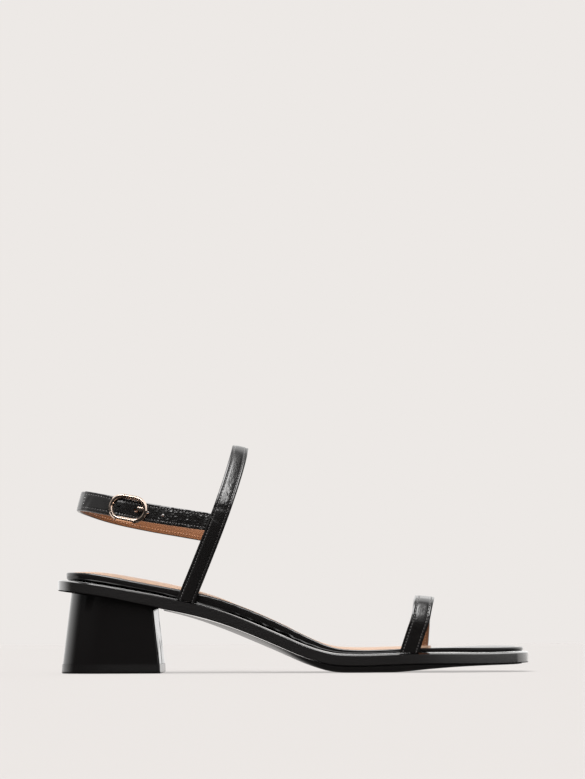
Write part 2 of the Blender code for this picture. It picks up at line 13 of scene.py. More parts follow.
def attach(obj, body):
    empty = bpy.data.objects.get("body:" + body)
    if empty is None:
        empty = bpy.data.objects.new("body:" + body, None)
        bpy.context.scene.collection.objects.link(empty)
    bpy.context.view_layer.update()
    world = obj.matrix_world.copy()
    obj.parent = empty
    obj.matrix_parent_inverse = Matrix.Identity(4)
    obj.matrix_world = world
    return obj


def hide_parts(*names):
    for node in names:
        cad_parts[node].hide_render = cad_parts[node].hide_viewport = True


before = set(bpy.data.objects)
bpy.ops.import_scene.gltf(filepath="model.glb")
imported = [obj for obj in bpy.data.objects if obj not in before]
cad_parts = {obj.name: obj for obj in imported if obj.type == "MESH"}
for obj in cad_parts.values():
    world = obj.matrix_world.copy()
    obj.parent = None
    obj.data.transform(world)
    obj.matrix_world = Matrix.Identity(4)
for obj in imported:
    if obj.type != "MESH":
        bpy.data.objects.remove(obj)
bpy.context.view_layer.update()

bl_info = {
    "name": "Heeled Sandal",
    "version": (1, 0, 0),
    "blender": (4, 5, 0),
    "location": "3D View > Sidebar > Sandal",
    "description": "Dresses a heeled sandal with leather, stitches, a buckle and a studio",
    "category": "Object",
}

MM = 0.001

# The tables below are in millimetres from the back of the sole, as a maker would measure the shoe.
# This is the place of the frame's origin in them.
TABLE_ORIGIN = Vector((122.5, 1.1, 0.0))

# Straps over the foot, a row for each height, from the ledge to the crest. pitch is how far the foot
# slopes down to the toe under a strap, in degrees.
ARCH_COLUMNS = ("z", "lateral", "medial", "lateral_x", "medial_x")
TOE_ARCH = (
    (10.6, 39.3, 41.2, 181.0, 190.2),
    (19.5, 39.9, 41.8, 184.0, 191.1),
    (27.0, 39.8, 41.6, 186.6, 191.6),
    (30.8, 38.9, 40.6, 187.5, 191.6),
    (33.6, 36.6, 38.1, 188.3, 191.6),
    (35.5, 32.4, 33.7, 189.1, 191.6),
    (36.8, 25.4, 26.5, 189.8, 191.5),
    (37.7, 14.0, 14.6, 190.5, 191.2),
    (38.0, 0.0, 0.0, 190.8, 190.8),
)
INSTEP_ARCH = (
    (37.2, 28.3, 26.5, 68.2, 65.4),
    (57.6, 30.0, 28.4, 76.6, 73.1),
    (77.8, 31.4, 30.2, 84.6, 80.9),
    (90.8, 30.3, 29.6, 89.2, 85.7),
    (100.8, 26.4, 26.0, 92.3, 89.3),
    (109.8, 18.8, 18.6, 94.5, 92.4),
    (114.8, 9.8, 9.8, 95.1, 94.2),
    (116.4, 0.0, 0.0, 95.2, 95.2),
)
TOE_PITCH = 5.5
INSTEP_PITCH = 12.5
LEG_BELOW_LEDGE = 3.0

# Ledge that each strap stands on: a point on it, and its slope towards the toe
TOE_LEDGE = {"x": 184.0, "z": 9.95, "slope": 0.0}
INSTEP_LEDGE = {"x": 67.3, "z": 36.75, "slope": -0.21}

# Seats of the heel under the platform and of the lift under the heel, and how far each is pressed in
HEEL_SEAT = {"x": 39.0, "z": 35.5, "slope": -0.21}
LIFT_SEAT = {"x": 39.0, "z": 3.5, "slope": 0.0}
HEEL_PRESS = 0.5
LIFT_PRESS = 0.3

# Sling from the lateral side of the instep strap round the heel to the medial side. lean is how far its
# upper edge tips towards the foot, in degrees.
SLING_COLUMNS = ("x", "y", "z", "lean")
SLING_ROUTE = (
    (86.0, -27.9, 75.7, 0.0),
    (68.0, -28.8, 78.4, 0.0),
    (51.0, -28.2, 81.1, 2.0),
    (39.2, -26.6, 83.4, 4.0),
    (26.5, -23.8, 86.0, 9.0),
    (15.6, -14.2, 88.3, 14.0),
    (11.8, 0.0, 88.8, 15.0),
    (15.6, 14.4, 87.3, 14.0),
    (27.4, 24.6, 83.8, 10.0),
    (45.0, 28.4, 80.0, 6.0),
    (64.0, 29.4, 76.6, 2.0),
    (80.5, 28.9, 73.6, 0.0),
)
BUCKLE_ROW = 3
BAR_AT = 47.6
TAIL_AT = 74.3
LAYER_STEP = 2.1
BAR_CLEARANCE = 1.05

# Holes of the buckle strap: distance forward from the bar, and radius. The second one holds the prong.
HOLE_COLUMNS = ("ahead", "radius")
HOLES = (
    (-5.35, 0.65),
    (3.85, 1.0),
    (10.15, 0.65),
    (17.8, 0.65),
)
HOLE_SIDES = 20
CUTTER_DEPTH = 6.0

# Soft troughs across the straps: how far along, how deep, how far they reach and their slant
CREASE_COLUMNS = ("along", "depth", "reach", "slant")
BUCKLE_CREASES = (
    (5.5, 0.16, 1.6, 0.35),
    (9.5, 0.12, 1.3, -0.3),
    (13.8, 0.17, 1.5, 0.2),
    (18.4, 0.11, 1.2, -0.45),
    (22.6, 0.15, 1.6, 0.4),
    (31.8, 0.10, 1.4, -0.2),
    (61.0, 0.12, 2.4, 0.55),
    (69.6, 0.12, 1.8, -0.3),
)
INSTEP_CREASES = (
    (41.0, 0.05, 1.6, 0.3),
    (46.5, 0.06, 1.4, -0.3),
    (53.0, 0.09, 1.6, 0.25),
    (61.5, 0.08, 1.8, -0.2),
)
TOE_CREASES = (
    (11.5, 0.07, 1.2, 0.3),
    (14.0, 0.06, 1.0, -0.25),
)

# Stretches where the grain breaks into small cells as the strap bends: where, cell size and depth
CRINKLE_COLUMNS = ("start", "stop", "cell", "depth")
BUCKLE_CRINKLES = ((2.0, 36.0, 1.7, 0.42),)
INSTEP_CRINKLES = ((32.0, 74.0, 2.0, 0.12),)
TOE_CRINKLES = ((4.0, 20.0, 1.6, 0.07),)
# Length over which a stretch fades in and out, and the share of a cell that lies below the face
CRINKLE_FADE = 6.0
CRINKLE_LEVEL = 0.4

# Grid of a flat strap. Its middle stands up by the dome, and the thread lies in a groove, sunk a little
# below the face. The straps of the sling are flatter.
STRAP_STEP = 0.9
STRAP_ROWS = 18
STRAP_EDGE = 0.42
DOME = 0.42
TOE_DOME = 0.24
SLING_DOME = 0.08
GROOVE = 0.40
SLING_GROOVE = 0.08
STITCH_SINK = 0.08
SLING_SINK = 0.17

# Lining on the inner face of a strap, set in from the strap's edges and a little proud of the face
LINING_INSET = 0.5
LINING_PROUD = 0.10
LINING_THICKNESS = 0.35
LINING_ROWS = 2

# Stitches: how far a row lies from the strap's edge, the share of the pitch that the thread fills, and the
# thread's sizes and slant
STITCH_INSET = 1.6
LINING_STITCH_INSET = 2.0
STITCH_SHARE = 0.66
STITCH_WIDTH = 0.60
STITCH_HEIGHT = 0.40
STITCH_EDGE = 0.13
STITCH_TURN = math.radians(7.0)

# Buckle, from the middle of its bar. The frame is a flat band with a wide chamfer on each side.
FRAME_LENGTH = 20.6
FRAME_HEIGHT = 14.1
FRAME_WIRE = 1.2
FRAME_OUT = 4.3
FRAME_TURN = FRAME_HEIGHT / 2 - FRAME_WIRE
FRAME_SEGMENTS = 96
FRAME_SIDES = 6
FRAME_SOFT = 0.07
FRAME_SHARP = math.radians(40.0)
# How far the front of the band reaches outward and inward of its middle, inside its chamfers
FRAME_FRONT_OUTER = 0.5
FRAME_FRONT_INNER = 0.4
BAR_WIRE = 0.65
BAR_ROUNDNESS = 4

# Prong, a flat tab: distance forward from the bar, distance out from the foot, and thickness outward
PRONG_COLUMNS = ("along", "out", "thick")
PRONG_ROUTE = (
    (1.6, 0.0, 1.0),
    (2.9, 0.2, 1.2),
    (3.8, 1.4, 1.7),
    (4.4, 3.0, 1.7),
    (4.8, 4.8, 1.3),
    (5.3, 5.7, 1.0),
    (8.4, 5.9, 0.8),
)
PRONG_WIDTH = 2.05
PRONG_SOFT = 0.3
PRONG_RISE = 0.6

# Copies of the solids: edges sharper than sharp, in degrees, stay edges, and are rounded by edge
OUTSOLE_COPY = {"sharp": 60.0}
PLATFORM_COPY = {"sharp": 26.0, "edge": 0.12, "segments": 2}
HEEL_COPY = {"sharp": 40.0, "edge": 0.3}
LIFT_COPY = {"sharp": 30.0}
BED_COPY = {"sharp": 75.0}
SOCK_COPY = {"sharp": 60.0, "edge": 0.15}

# Angles between faces: for rounding, for smooth shading and for joining triangles into quads
SHARP_EDGE = math.radians(60.0)
SOLID_SHADING = math.radians(50.0)
STRAP_SHADING = math.radians(40.0)
QUAD_FACE_ANGLE = math.radians(50.0)
QUAD_SHAPE_ANGLE = math.radians(60.0)

# Points nearer to each other than this, in metres, are merged
MERGE = 0.000002
# Steps of a route from one of its points to the next
ROUTE_RESOLUTION = 32

# Range of a noise pattern that holds most of it, and the tan leather's shade where it is handled most
NOISE_SPAN = {"From Min": 0.3, "From Max": 0.7}
HANDLED_SHADE = 0.86

# Paper on the floor, in metres: its size, and where across the shoe its painted mirror image turns from
# dark to light
FLOOR_SIZE = 60.0
FLOOR_DARK_TO = -0.028
FLOOR_LIT_FROM = 0.04

# Nearest and farthest that the camera sees, in metres
CAMERA_NEAR = 0.01
CAMERA_FAR = 200.0

# Light panels round the shoe. Each edge of a panel is a direction, and the two shares of it between which
# the panel fades from dark to lit.
KEY_TURN = math.radians(5.0)
KEY_FRONT = (-math.sin(KEY_TURN), -math.cos(KEY_TURN), 0.0)
KEY_SIDE = (math.cos(KEY_TURN), -math.sin(KEY_TURN), 0.0)
KEY_RISE = (0.5, 0.0, 1.0)
UP = (0.0, 0.0, 1.0)
BACK = (0.0, 1.0, 0.0)
HEEL_END = (-1.0, 0.0, 0.0)
TOE_END = (1.0, 0.0, 0.0)
BEHIND_EDGES = (
    (BACK, -0.05, 0.6),
    (UP, 1.05, 0.75),
)
HEEL_EDGES = (
    (HEEL_END, 0.36, 0.7),
    (UP, 0.12, 0.3),
)
TOE_EDGES = (
    (TOE_END, 0.05, 1.0),
)
KEY_EDGES = (
    (KEY_RISE, 0.2, 0.42),
    (KEY_FRONT, -0.5, 0.55),
    (KEY_SIDE, 0.18, 0.08),
    (KEY_SIDE, -0.55, -0.35),
)
LIGHT_TINT = (1.0, 0.99, 0.98, 1.0)


def linear_rgb(value):
    """Linear colour of an sRGB hex value."""
    shares = [int(value[i:i + 2], 16) / 255 for i in (1, 3, 5)]
    return [s / 12.92 if s <= 0.04045 else ((s + 0.055) / 1.055) ** 2.4 for s in shares]


def colour(name, description, value):
    """A colour that the user may change."""
    return FloatVectorProperty(
        name=name,
        description=description,
        subtype="COLOR",
        size=3,
        min=0.0,
        max=1.0,
        default=linear_rgb(value),
    )


def length(name, description, millimetres):
    """A length that the user may change."""
    return FloatProperty(
        name=name, description=description, unit="LENGTH", min=0.0, default=millimetres * MM)


def angle(name, description, degrees):
    """An angle that the user may change."""
    return FloatProperty(
        name=name, description=description, subtype="ANGLE", default=math.radians(degrees))


def light_level(name, description, value):
    """A strength of light that the user may change."""
    return FloatProperty(name=name, description=description, min=0.0, default=value)


class SandalColours(PropertyGroup):
    """Colours of the leathers, threads, sole and metal."""

    upper: colour("Upper", "Black leather of the straps and the footbed", "#0C0B0B")
    lining: colour("Lining", "Tan leather of the strap linings", "#744A2D")
    sock: colour("Sock", "Tan leather of the sock", "#94745B")
    edge: colour("Edge", "Burnished edge of the platform", "#121111")
    heel: colour("Heel", "Polished cover of the heel", "#080707")
    lift: colour("Top lift", "Rubber under the heel", "#0A0909")
    sole: colour("Sole", "Glossy moulded sole", "#161515")
    thread: colour("Thread", "Thread on the black leather", "#2A2828")
    lining_thread: colour("Lining thread", "Thread on the tan lining", "#845839")
    metal: colour("Metal", "Rose gold plating of the buckle", "#E3CDBD")


class SandalSizes(PropertyGroup):
    """Sizes of the straps and their stitches."""

    toe_width: length("Toe strap", "Width of the toe strap", 9.5)
    instep_width: length("Instep strap", "Width of the instep strap at its crest", 8.4)
    instep_end_width: length("Instep strap ends", "Width of the instep strap at the ledge", 9.3)
    heel_width: length("Heel strap", "Width of the heel strap", 10.3)
    buckle_width: length("Buckle strap", "Width of the buckle strap at its tail", 10.1)
    buckle_end_width: length("Buckle strap front", "Width of the buckle strap at the instep", 9.1)
    thickness: length("Thickness", "Thickness of the straps over the foot", 2.0)
    sling_thickness: length("Sling thickness", "Thickness of the two sling straps", 1.8)
    stitch_pitch: length("Stitch pitch", "Distance from one stitch to the next", 1.55)


class SandalStage(PropertyGroup):
    """Camera, floor and light of the studio."""

    distance: length("Distance", "Distance of the camera from the middle of the shoe", 1200.0)
    height: length("Height", "Height of the camera above the floor", 15.0)
    aside: length("Aside", "How far the camera stands towards the toe", 0.26)
    pitch: angle("Pitch", "How far the camera looks up", 6.32)
    roll: angle("Roll", "Roll of the camera", -0.25)
    lens: FloatProperty(name="Lens", description="Focal length in millimetres", min=1.0, default=105.9)
    backdrop: colour("Backdrop", "Colour of the studio behind the shoe", "#EDE9E6")
    floor: colour("Floor", "Colour of the paper on the floor", "#636160")
    # The floor's glow is painted light: the paper glows of itself, though no lamp shines through it
    floor_glow: light_level("Floor glow", "Light that comes through the paper on the floor", 0.55)
    behind: light_level("Behind", "Light of the studio behind the shoe", 1.1)
    heel_end: light_level("Heel end", "Light of the panel beyond the heel", 0.55)
    toe_end: light_level("Toe end", "Light of the panel beyond the toe", 1.3)
    key: light_level("Key", "Light of the long softbox over the camera", 15.0)
    fill: light_level("Fill", "Light from everywhere else", 0.03)


@dataclasses.dataclass
class Strap:
    """A strap while it lies flat: x along it, z across it and y through it, its outer face towards +y."""

    name: str
    start: float
    stop: float
    width: float
    thickness: float
    dome: float = DOME
    groove: float = GROOVE
    sink: float = STITCH_SINK
    lift: float = 0.0
    front_share: float = 1.0

    def place_on_face(self, side, height):
        """Distance from the route of a point at a height above the outer or the inner face."""
        return self.lift + side * (self.thickness / 2 + height)


# Small helpers for modelling


def place(x, y, z):
    """A point of the tables, in metres from the frame's origin."""
    return (Vector((x, y, z)) - TABLE_ORIGIN) * MM


def rows_of(columns, rows):
    """The rows of a table as dictionaries."""
    return [dict(zip(columns, row)) for row in rows]


def pick(piece):
    """Makes the piece the only selected object and the active one."""
    bpy.ops.object.select_all(action="DESELECT")
    piece.select_set(True)
    bpy.context.view_layer.objects.active = piece


@contextlib.contextmanager
def editing(piece):
    """Edit mode on one piece, with nothing selected at first."""
    pick(piece)
    bpy.ops.object.mode_set(mode="EDIT")
    bpy.ops.mesh.select_mode(type="VERT")
    bpy.ops.mesh.select_all(action="DESELECT")
    yield
    bpy.ops.object.mode_set(mode="OBJECT")


def choose(piece, wanted):
    """Selects the points whose place the test accepts, in edit mode."""
    mesh = bmesh.from_edit_mesh(piece.data)
    for vert in mesh.verts:
        vert.select_set(bool(wanted(vert.co)))
    mesh.select_flush_mode()
    bmesh.update_edit_mesh(piece.data)


def softly(falloff, reach):
    """Settings of a move that fades out over the points within reach."""
    return {
        "use_proportional_edit": True,
        "proportional_edit_falloff": falloff,
        "proportional_size": reach,
    }


def modify(piece, kind, **settings):
    """Adds a modifier to the piece and applies it."""
    pick(piece)
    step = piece.modifiers.new(kind.lower(), kind)
    for name, value in settings.items():
        setattr(step, name, value)
    bpy.ops.object.modifier_apply(modifier=step.name)


def settle(piece):
    """Puts the piece's place, turn and scale into its mesh."""
    pick(piece)
    bpy.ops.object.transform_apply(location=True, rotation=True, scale=True)


def started(name, scale):
    """The primitive that was just added, named and brought to its size."""
    piece = bpy.context.object
    piece.name = name
    piece.scale = scale
    settle(piece)
    return piece


def smooth_shading(piece, sharpest):
    """Smooth shading over edges that are not sharper than the angle."""
    pick(piece)
    bpy.ops.object.shade_smooth_by_angle(angle=sharpest)


def flat_faces(piece):
    """Smooth shading that leaves large faces flat and turns only over their rounded edges."""
    smooth_shading(piece, SOLID_SHADING)
    modify(piece, "WEIGHTED_NORMAL", keep_sharp=True)


def round_edges(piece, width, segments, sharper=SHARP_EDGE):
    """Rounds the edges that are sharper than the angle."""
    modify(piece, "BEVEL", width=width, segments=segments, limit_method="ANGLE", angle_limit=sharper)


def dress(piece, material):
    """Gives the finished piece its material and lets it ride on the shoe."""
    piece.data.materials.clear()
    piece.data.materials.append(material)
    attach(piece, "root")


def remove(*helpers):
    """Removes objects that only helped to make a piece."""
    for helper in helpers:
        bpy.data.objects.remove(helper, do_unlink=True)


def joined(pieces):
    """All the pieces as one object, the first of them."""
    pick(pieces[0])
    for piece in pieces:
        piece.select_set(True)
    bpy.ops.object.join()
    settle(pieces[0])
    return pieces[0]


def repeat(piece, count, step):
    """Copies a piece so many times, each a step further, as one mesh."""
    modify(
        piece,
        "ARRAY",
        count=count,
        use_relative_offset=False,
        use_constant_offset=True,
        constant_offset_displace=step,
    )


def smooth_copy(node, name, sharp, edge=0.0, segments=3):
    """A merged copy of a solid, smooth between edges sharper than the given degrees, which are rounded."""
    piece = bpy.data.objects.new(name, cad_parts[node].data.copy())
    bpy.context.scene.collection.objects.link(piece)
    pick(piece)
    bpy.ops.mesh.customdata_custom_splitnormals_clear()
    with editing(piece):
        bpy.ops.mesh.select_all(action="SELECT")
        bpy.ops.mesh.remove_doubles(threshold=MERGE)
        bpy.ops.mesh.tris_convert_to_quads(
            face_threshold=QUAD_FACE_ANGLE, shape_threshold=QUAD_SHAPE_ANGLE)
        bpy.ops.mesh.mark_sharp(clear=True)
        bpy.ops.mesh.select_all(action="DESELECT")
        bpy.ops.mesh.select_mode(type="EDGE")
        bpy.ops.mesh.edges_select_sharp(sharpness=math.radians(sharp))
        bpy.ops.transform.edge_crease(value=1.0)
    modify(piece, "SUBSURF", levels=2, render_levels=2)
    if edge:
        round_edges(piece, edge * MM, segments, math.radians(sharp))
    flat_faces(piece)
    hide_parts(node)
    return piece


def press_in(piece, seat, rise):
    """Presses the top of a piece into the piece over it, so that no light shows between them."""
    spot = place(seat["x"], 0.0, seat["z"])
    with editing(piece):
        choose(piece, lambda co: co.z - spot.z > seat["slope"] * (co.x - spot.x))
        bpy.ops.transform.translate(value=(0.0, 0.0, rise * MM))


# Materials


def set_inputs(tree, node, inputs):
    """Fills a node's inputs with values or with other nodes' outputs."""
    for key, value in inputs.items():
        if isinstance(value, bpy.types.NodeSocket):
            tree.links.new(value, node.inputs[key])
        else:
            node.inputs[key].default_value = value


def add(tree, kind, inputs=None, **settings):
    """Adds a node with its settings and its inputs."""
    made = tree.nodes.new(kind)
    for name, value in settings.items():
        setattr(made, name, value)
    set_inputs(tree, made, inputs or {})
    return made


def finish_material(name, build):
    """The material of that name. build adds its patterns and returns the inputs of its shader."""
    made = bpy.data.materials.get(name)
    if made:
        return made
    made = bpy.data.materials.new(name)
    made.use_nodes = True
    tree = made.node_tree
    spot = add(tree, "ShaderNodeTexCoord").outputs["Object"]
    set_inputs(tree, tree.nodes["Principled BSDF"], build(tree, spot))
    return made


def uneven_finish(name, pattern, relief, constants):
    """A material whose only pattern is the fine unevenness of its face."""
    def build(tree, spot):
        noise = add(tree, "ShaderNodeTexNoise", {"Vector": spot, **pattern})
        bump = add(tree, "ShaderNodeBump", {"Height": noise.outputs["Fac"], **relief})
        return {**constants, "Normal": bump.outputs["Normal"]}
    return finish_material(name, build)


def per_mm(size):
    """Texture scale that repeats every so many millimetres."""
    return 1.0 / (size * MM)


def strap_leather(colours):
    """Black calf leather, drum-dyed and polished: fine pebble grain, soft wrinkles, broad satin gloss."""
    def build(tree, spot):
        # Real pores are finer than a pixel, so they are drawn coarser to break the gloss
        grain = add(tree, "ShaderNodeTexVoronoi", {"Vector": spot, "Scale": per_mm(0.95)})
        wrinkle = add(tree, "ShaderNodeTexNoise", {
            "Vector": spot, "Scale": per_mm(2.6), "Detail": 4.0, "Roughness": 0.6, "Distortion": 0.8})
        low = add(tree, "ShaderNodeBump", {
            "Height": wrinkle.outputs["Fac"], "Strength": 0.4, "Distance": 0.15 * MM})
        fine = add(tree, "ShaderNodeBump", {
            "Height": grain.outputs["Distance"], "Strength": 0.3, "Distance": 0.06 * MM,
            "Normal": low.outputs["Normal"]})
        patches = add(tree, "ShaderNodeTexNoise", {"Vector": spot, "Scale": per_mm(9.0), "Detail": 3.0})
        gloss = add(tree, "ShaderNodeMapRange", {
            "Value": patches.outputs["Fac"], **NOISE_SPAN, "To Min": 0.14, "To Max": 0.21})
        return {
            "Base Color": (*colours.upper, 1.0),
            "Roughness": gloss.outputs["Result"],
            "Normal": fine.outputs["Normal"],
        }
    return finish_material("black calf leather", build)


def bed_leather(colours):
    """Black leather pulled smooth over the padding: almost no grain left, sharp glints along its rim."""
    pull = {"Scale": per_mm(5.0), "Detail": 3.0}
    relief = {"Strength": 0.2, "Distance": 0.12 * MM}
    constants = {"Base Color": (*colours.upper, 1.0), "Roughness": 0.16}
    return uneven_finish("smooth black leather", pull, relief, constants)


def tan_leather(name, tint, roughness):
    """Tan vegetable-dyed leather: warm, with pores and slightly darker handled patches."""
    def build(tree, spot):
        pores = add(tree, "ShaderNodeTexNoise", {"Vector": spot, "Scale": per_mm(0.7), "Detail": 3.0})
        bump = add(tree, "ShaderNodeBump", {
            "Height": pores.outputs["Fac"], "Strength": 0.5, "Distance": 0.08 * MM})
        patches = add(tree, "ShaderNodeTexNoise", {"Vector": spot, "Scale": per_mm(7.0), "Detail": 4.0})
        shade = add(tree, "ShaderNodeMapRange", {
            "Value": patches.outputs["Fac"], **NOISE_SPAN})
        handled = [share * HANDLED_SHADE for share in tint]
        mixed = add(tree, "ShaderNodeMix", {
            "Factor": shade.outputs["Result"], "A": (*handled, 1.0), "B": (*tint, 1.0)}, data_type="RGBA")
        return {
            "Base Color": mixed.outputs["Result"],
            "Roughness": roughness,
            "Specular IOR Level": 0.4,
            "Normal": bump.outputs["Normal"],
        }
    return finish_material(name, build)


def burnished_edge(colours):
    """Black burnished edge, waxed and rubbed along its length: satin, with faint drawn-out streaks,
    painted shade on its lower edge and a painted highlight on its upper corner.
    """
    def build(tree, spot):
        turn = add(tree, "ShaderNodeMapping", {"Vector": spot, "Scale": (0.04, 0.04, 1.0)})
        streaks = add(tree, "ShaderNodeTexNoise", {
            "Vector": turn.outputs["Vector"], "Scale": per_mm(0.9), "Detail": 3.0})
        bump = add(tree, "ShaderNodeBump", {
            "Height": streaks.outputs["Fac"], "Strength": 0.03, "Distance": 0.05 * MM})
        rub = add(tree, "ShaderNodeMapRange", {
            "Value": streaks.outputs["Fac"], **NOISE_SPAN, "To Min": 0.13, "To Max": 0.19})
        normal = add(tree, "ShaderNodeNewGeometry").outputs["Normal"]
        facing = add(tree, "ShaderNodeSeparateXYZ", {"Vector": normal})
        # Painted shade: the gloss is taken off faces that look down, so the lower edge stays dark and matt
        gloss_painted_off_below = add(tree, "ShaderNodeMapRange", {
            "Value": facing.outputs["Z"], "From Min": -0.3, "From Max": -0.05})
        sheen = add(tree, "ShaderNodeMath", {0: gloss_painted_off_below.outputs["Result"], 1: 0.6}, operation="MULTIPLY")
        # Painted highlight: faces that look up get a coat of higher index, so the upper corner shines
        # brightest
        corner = add(tree, "ShaderNodeMapRange", {
            "Value": facing.outputs["Z"], "From Min": 0.2, "From Max": 0.6, "To Min": 1.8, "To Max": 2.8})
        return {
            "Base Color": (*colours.edge, 1.0),
            "Roughness": rub.outputs["Result"],
            "Specular IOR Level": sheen.outputs["Value"],
            "Coat Weight": gloss_painted_off_below.outputs["Result"],
            "Coat Roughness": 0.07,
            "Coat IOR": corner.outputs["Result"],
            "Normal": bump.outputs["Normal"],
        }
    return finish_material("burnished black edge", build)


def polished_cover(colours):
    """Polished leather over the heel block: near black, clear gloss, dull upright marks on its breast."""
    def build(tree, spot):
        turn = add(tree, "ShaderNodeMapping", {"Vector": spot, "Scale": (1.0, 0.25, 0.12)})
        pulls = add(tree, "ShaderNodeTexNoise", {
            "Vector": turn.outputs["Vector"], "Scale": per_mm(2.6), "Detail": 4.0})
        bump = add(tree, "ShaderNodeBump", {
            "Height": pulls.outputs["Fac"], "Strength": 0.15, "Distance": 0.1 * MM})
        normal = add(tree, "ShaderNodeNewGeometry").outputs["Normal"]
        facing = add(tree, "ShaderNodeSeparateXYZ", {"Vector": normal})
        breast = add(tree, "ShaderNodeMapRange", {
            "Value": facing.outputs["X"], "From Min": 0.5, "From Max": 0.8})
        # The marks grow denser towards the floor
        heights = add(tree, "ShaderNodeSeparateXYZ", {"Vector": spot})
        low = add(tree, "ShaderNodeMapRange", {
            "Value": heights.outputs["Z"], "From Min": 4.0 * MM, "From Max": 34.0 * MM,
            "To Min": 0.10, "To Max": 0.0})
        marks = add(tree, "ShaderNodeMath", {
            0: pulls.outputs["Fac"], 1: low.outputs["Result"]}, operation="ADD")
        dull = add(tree, "ShaderNodeMapRange", {
            "Value": marks.outputs["Value"], "From Min": 0.6, "From Max": 0.74, "To Max": 0.5})
        gloss = add(tree, "ShaderNodeMath", {
            0: dull.outputs["Result"], 1: breast.outputs["Result"], 2: 0.13}, operation="MULTIPLY_ADD")
        return {
            "Base Color": (*colours.heel, 1.0),
            "Roughness": gloss.outputs["Value"],
            "Normal": bump.outputs["Normal"],
        }
    return finish_material("polished heel cover", build)


def hard_rubber(colours):
    """Hard black rubber of the top lift, buffed with the heel: satin, finely pitted."""
    pits = {"Scale": per_mm(0.8), "Detail": 4.0}
    relief = {"Strength": 0.4, "Distance": 0.05 * MM}
    constants = {"Base Color": (*colours.lift, 1.0), "Roughness": 0.18}
    return uneven_finish("hard black rubber", pits, relief, constants)


def moulded_sole(colours):
    """Moulded sole with a glossy press finish that ripples slightly."""
    ripple = {"Scale": per_mm(7.0), "Detail": 2.0}
    relief = {"Strength": 0.25, "Distance": 0.12 * MM}
    constants = {"Base Color": (*colours.sole, 1.0), "Roughness": 0.25}
    return uneven_finish("glossy moulded sole", ripple, relief, constants)


def sewing_thread(name, tint):
    """Bonded polyester thread, twisted: a soft sheen broken by its ply."""
    ply = {"Scale": per_mm(0.3), "Detail": 1.0}
    relief = {"Strength": 0.4, "Distance": 0.05 * MM}
    constants = {"Base Color": (*tint, 1.0), "Roughness": 0.3, "Specular IOR Level": 1.0}
    return uneven_finish(name, ply, relief, constants)


def rose_gold(colours):
    """Rose gold plating, barrel polished: mirror-like, with very fine rub marks."""
    def build(tree, spot):
        rub = add(tree, "ShaderNodeTexNoise", {"Vector": spot, "Scale": per_mm(1.5), "Detail": 3.0})
        gloss = add(tree, "ShaderNodeMapRange", {
            "Value": rub.outputs["Fac"], **NOISE_SPAN, "To Min": 0.05, "To Max": 0.075})
        return {
            "Base Color": (*colours.metal, 1.0),
            "Metallic": 1.0,
            "Roughness": gloss.outputs["Result"],
        }
    return finish_material("rose gold plating", build)


# Routes, along which the flat straps are bent


def draw_route(name, points, tilts, radii, turn):
    """Smooth curve through the points, in the frame that the turn gives."""
    data = bpy.data.curves.new(name, "CURVE")
    data.dimensions = "3D"
    data.twist_mode = "Z_UP"
    data.resolution_u = ROUTE_RESOLUTION
    line = data.splines.new("BEZIER")
    line.bezier_points.add(len(points) - 1)
    back = turn.inverted()
    for knot, point, tilt, radius in zip(line.bezier_points, points, tilts, radii):
        knot.co = back @ point
        knot.handle_left_type = "AUTO"
        knot.handle_right_type = "AUTO"
        knot.tilt = tilt
        knot.radius = radius
    route = bpy.data.objects.new(name, data)
    route.matrix_world = turn
    route.hide_render = True
    bpy.context.scene.collection.objects.link(route)
    bpy.context.view_layer.update()
    return route


def route_length(route):
    """Length of a route, in metres."""
    return route.data.splines[0].calc_length()


def foot_turn(pitch):
    """Frame of a strap over the foot: z runs along the foot, y up from it and x to the medial side."""
    along = Vector((math.cos(pitch), 0.0, -math.sin(pitch)))
    medial = Vector((0.0, 1.0, 0.0))
    return Matrix((medial, along.cross(medial), along)).transposed().to_4x4()


def arch_route(name, rows, pitch, end_share):
    """Route of a strap over the foot, from below the lateral ledge to below the medial one."""
    table = rows_of(ARCH_COLUMNS, rows)
    points = [place(row["lateral_x"], -row["lateral"], row["z"]) for row in table]
    points += [place(row["medial_x"], row["medial"], row["z"]) for row in reversed(table[:-1])]
    for end, inner in ((0, 1), (-1, -2)):
        step = (points[end] - points[inner]).normalized() * LEG_BELOW_LEDGE * MM
        points[end] = points[end] + step
    middle = (len(points) - 1) / 2
    radii = [1 + (end_share - 1) * abs(i / middle - 1) for i in range(len(points))]
    return draw_route(name, points, [0.0] * len(points), radii, foot_turn(math.radians(pitch)))


def sling_route(name):
    """Route of the sling, from the buckle strap's front round the heel."""
    table = rows_of(SLING_COLUMNS, SLING_ROUTE)
    points = [place(row["x"], row["y"], row["z"]) for row in table]
    tilts = [math.radians(row["lean"]) for row in table]
    return draw_route(name, points, tilts, [1.0] * len(points), Matrix.Identity(4))


# Straps, modelled flat and then bent


def flat_grid(name, strap, width, rows, height, side):
    """Flat grid on the outer or the inner face of a strap, facing away from the strap."""
    bpy.ops.object.select_all(action="DESELECT")
    bpy.ops.mesh.primitive_grid_add(
        x_subdivisions=round((strap.stop - strap.start) / (STRAP_STEP * MM)),
        y_subdivisions=rows,
        size=1.0,
        location=((strap.start + strap.stop) / 2, strap.place_on_face(side, height), 0.0),
        rotation=(-side * math.pi / 2, 0.0, 0.0),
    )
    return started(name, (strap.stop - strap.start, width, 1.0))


